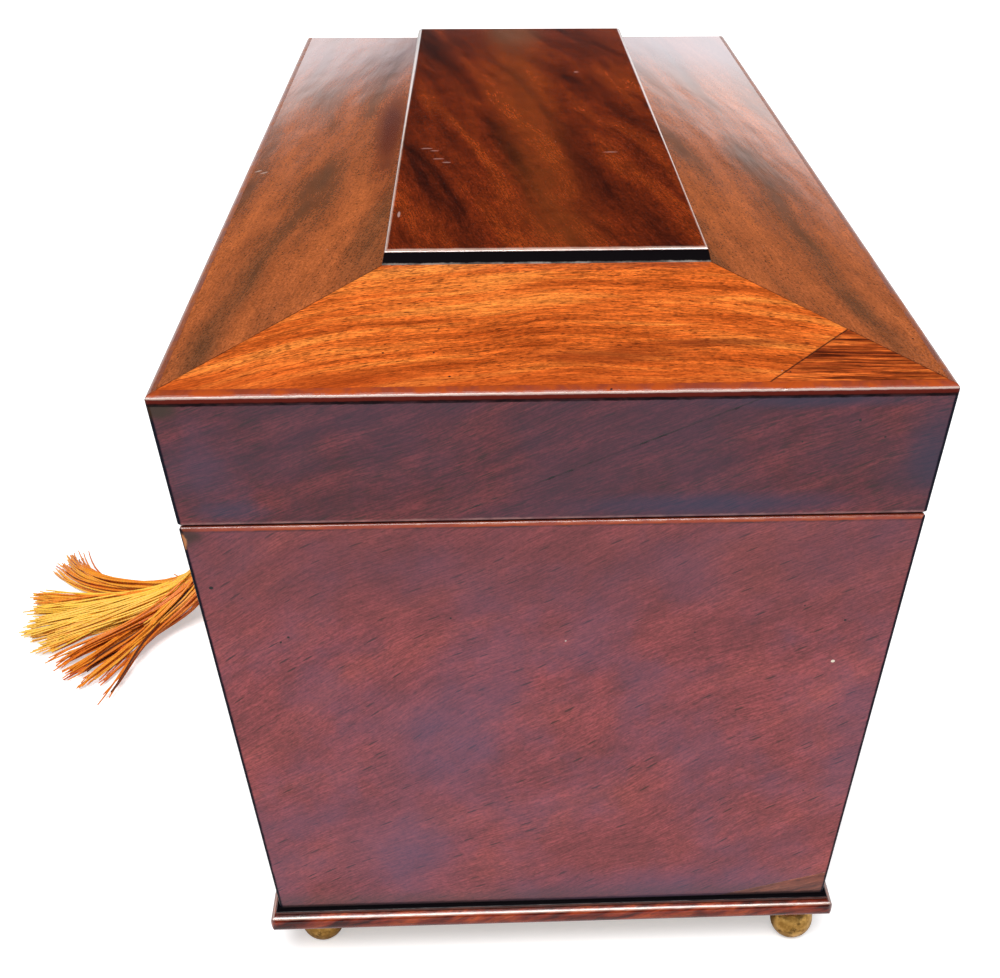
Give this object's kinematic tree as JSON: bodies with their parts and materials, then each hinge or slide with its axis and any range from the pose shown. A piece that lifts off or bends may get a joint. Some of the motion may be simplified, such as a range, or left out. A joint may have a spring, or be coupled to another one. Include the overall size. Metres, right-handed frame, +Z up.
{
  "type": "antique tea caddy",
  "caption": "Sarcophagus tea caddy in mahogany with a hinged stepped lid, ball feet, base moulding, lock, key with silk tassel, inner lids and glass mixing bowl.",
  "frame": {"origin": "on the plane the feet stand on, below the middle of the case", "axes": "+X towards the right-hand end, -Y towards the front with the lock, +Z up"},
  "size_m": [0.3298, 0.2432, 0.1586],
  "materials": {
    "mahogany": "old waxed polish",
    "mahogany_slope": "faded veneer under old polish",
    "flame_mahogany": "polished flame veneer",
    "carcass_wood": "bare planed softwood",
    "inner_mahogany": "satin polish",
    "bone": "turned and polished",
    "brass": "old lacquered brass",
    "gilt": "rubbed gilt brass",
    "steel": "oiled, dulled steel",
    "tin_foil": "dull tin foil",
    "glass": "clear blown glass",
    "baize": "napped baize",
    "paper": "old lining paper",
    "silk": "twisted silk yarn"
  },
  "bodies": {
    "case": {"base_board": "carcass_wood", "ball_feet": "gilt", "front_board": "mahogany", "back_board": "mahogany", "left_end_board": "mahogany", "right_end_board": "mahogany", "end_veneer_patch": "mahogany_slope", "plinth_moulding_front": "mahogany", "plinth_moulding_back": "mahogany", "plinth_moulding_left": "mahogany", "plinth_moulding_right": "mahogany", "bowl_surround": "inner_mahogany", "bowl_pad": "baize", "inner_lid_ledges": "inner_mahogany", "partition_left": "inner_mahogany", "partition_right": "inner_mahogany", "tea_lining_left": "tin_foil", "tea_lining_right": "tin_foil", "hinge_rail_left": "inner_mahogany", "hinge_rail_right": "inner_mahogany", "lock_case": "steel", "lock_backplate": "brass", "lock_screws": "steel", "escutcheon": "brass", "hinge_body_leaves": "brass", "hinge_pins": "steel", "hinge_body_screws": "steel", "inner_hinge_rail_leaves": "brass", "inner_hinge_pins": "brass", "tassel_loop": "silk", "tassel_cord": "silk", "tassel_head": "silk", "tassel_skirt": "silk"},
    "lid": {"lid_front_wall": "mahogany", "lid_back_wall": "mahogany", "lid_left_wall": "mahogany", "lid_right_wall": "mahogany", "lid_top_board": "carcass_wood", "lid_tablet": "flame_mahogany", "lid_lining": "paper", "lid_slope_front": "mahogany_slope", "lid_slope_back": "mahogany_slope", "lid_slope_left": "mahogany_slope", "lid_slope_right": "mahogany_slope", "slope_veneer_patch": "mahogany_slope", "link_plate": "brass", "link_eye": "brass", "link_plate_screws": "steel", "hinge_lid_leaves": "brass", "hinge_lid_screws": "steel"},
    "left_inner_lid": {"inner_lid_left": "inner_mahogany", "inner_lid_knob_left": "bone", "inner_hinge_lid_leaves_left": "brass"},
    "right_inner_lid": {"inner_lid_right": "inner_mahogany", "inner_lid_knob_right": "bone", "inner_hinge_lid_leaves_right": "brass"},
    "bowl": {"mixing_bowl": "glass"},
    "bolt": {"lock_bolt": "brass"},
    "lock_key": {"key": "steel"}
  },
  "joints": [
    {"name": "lid_hinge", "type": "hinge", "parent": "case", "child": "lid", "pos_m": [0, 0.07353, 0.1192], "axis": [-1, 0, 0], "range_deg": [0, 100]},
    {"name": "inner_lid_left_hinge", "type": "hinge", "parent": "case", "child": "left_inner_lid", "pos_m": [-0.1, 0.04995, 0.1113], "axis": [-1, 0, 0], "range_deg": [0, 95]},
    {"name": "inner_lid_right_hinge", "type": "hinge", "parent": "case", "child": "right_inner_lid", "pos_m": [0.1, 0.04995, 0.1113], "axis": [-1, 0, 0], "range_deg": [0, 95]},
    {"name": "bowl_lift", "type": "slide", "parent": "case", "child": "bowl", "axis": [0, 0, 1], "range_m": [0, 0.08]},
    {"name": "key_turn", "type": "hinge", "parent": "case", "child": "lock_key", "pos_m": [0, -0.07095, 0.10457], "axis": [0, 0.9954, 0.0956], "range_deg": [0, 360]},
    {"name": "bolt_slide", "type": "slide", "parent": "case", "child": "bolt", "axis": [1, 0, 0], "range_m": [0, 0.006]}
  ],
  "couplings": [
    {"joint": "inner_lid_left_hinge", "follows": "lid_hinge", "ratio": 0.95},
    {"joint": "inner_lid_right_hinge", "follows": "lid_hinge", "ratio": 0.95},
    {"joint": "bowl_lift", "follows": "lid_hinge", "m_per_rad": 0.04583},
    {"joint": "bolt_slide", "follows": "key_turn", "m_per_rad": 0.000954}
  ]
}
